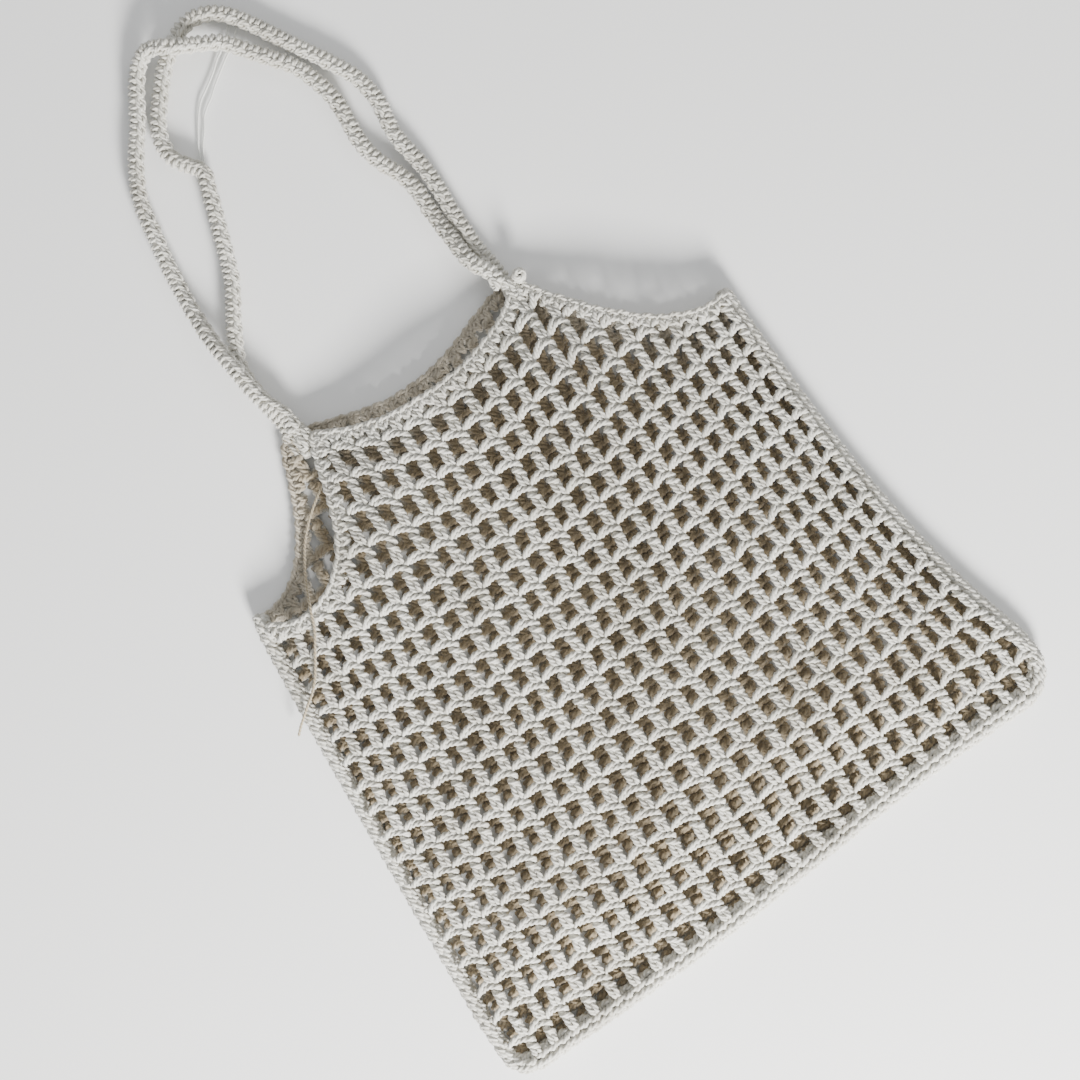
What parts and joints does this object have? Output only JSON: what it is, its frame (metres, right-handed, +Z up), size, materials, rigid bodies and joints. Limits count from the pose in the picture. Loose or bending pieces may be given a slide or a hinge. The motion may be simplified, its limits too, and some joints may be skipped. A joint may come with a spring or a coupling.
{
  "type": "mesh produce bag",
  "caption": "Crocheted cotton filet-mesh bag with a solid base band, rimmed neckline and armholes, and round crocheted handles, lying flat.",
  "frame": {"origin": "on the surface the bag lies on, under the middle of its overall box, handles included and loose threads left out", "axes": "+X across the bag to its right, +Y from the base to the handles, +Z up from the back panel to the front panel"},
  "size_m": [0.39, 0.6177, 0.0265],
  "materials": {
    "mesh_yarn": "soft plied cotton yarn, undyed cream, matt with fine fuzz, worked as open filet mesh",
    "solid_crochet": "the same cream cotton yarn worked in close single crochet",
    "handle_yarn": "the same cream cotton yarn worked as a narrow ridged cord",
    "tail_yarn": "loose tan yarn end of a few thin plies",
    "fine_thread": "fine whitish thread"
  },
  "bodies": {
    "back": {"base_band": "solid_crochet", "left_base_corner": "solid_crochet", "right_base_corner": "solid_crochet", "left_side_seam": "solid_crochet", "right_side_seam": "solid_crochet", "left_top_corner": "solid_crochet", "right_top_corner": "solid_crochet", "back_mesh": "mesh_yarn", "back_neck_rim": "solid_crochet", "back_left_armhole_rim": "solid_crochet", "back_right_armhole_rim": "solid_crochet", "back_left_shoulder_join": "solid_crochet", "back_right_shoulder_join": "solid_crochet"},
    "front": {"front_mesh": "mesh_yarn", "front_neck_rim": "solid_crochet", "front_left_armhole_rim": "solid_crochet", "front_right_armhole_rim": "solid_crochet", "front_left_shoulder_join": "solid_crochet", "front_right_shoulder_join": "solid_crochet", "shoulder_knot": "solid_crochet", "yarn_tail": "tail_yarn"},
    "front_handle": {"front_handle": "handle_yarn"},
    "back_handle": {"back_handle": "handle_yarn", "tag_thread_a": "fine_thread", "tag_thread_b": "fine_thread"}
  },
  "joints": [
    {"name": "mouth_opening", "type": "hinge", "parent": "back", "child": "front", "pos_m": [0, -0.296, 0.0095], "axis": [1, 0, 0], "range_deg": [0, 12]},
    {"name": "front_handle_swing", "type": "hinge", "parent": "front", "child": "front_handle", "pos_m": [0, 0.084, 0.012], "axis": [1, 0, 0], "range_deg": [0, 130]},
    {"name": "back_handle_swing", "type": "hinge", "parent": "back", "child": "back_handle", "pos_m": [0, 0.084, 0.0036], "axis": [1, 0, 0], "range_deg": [-130, 0]}
  ]
}
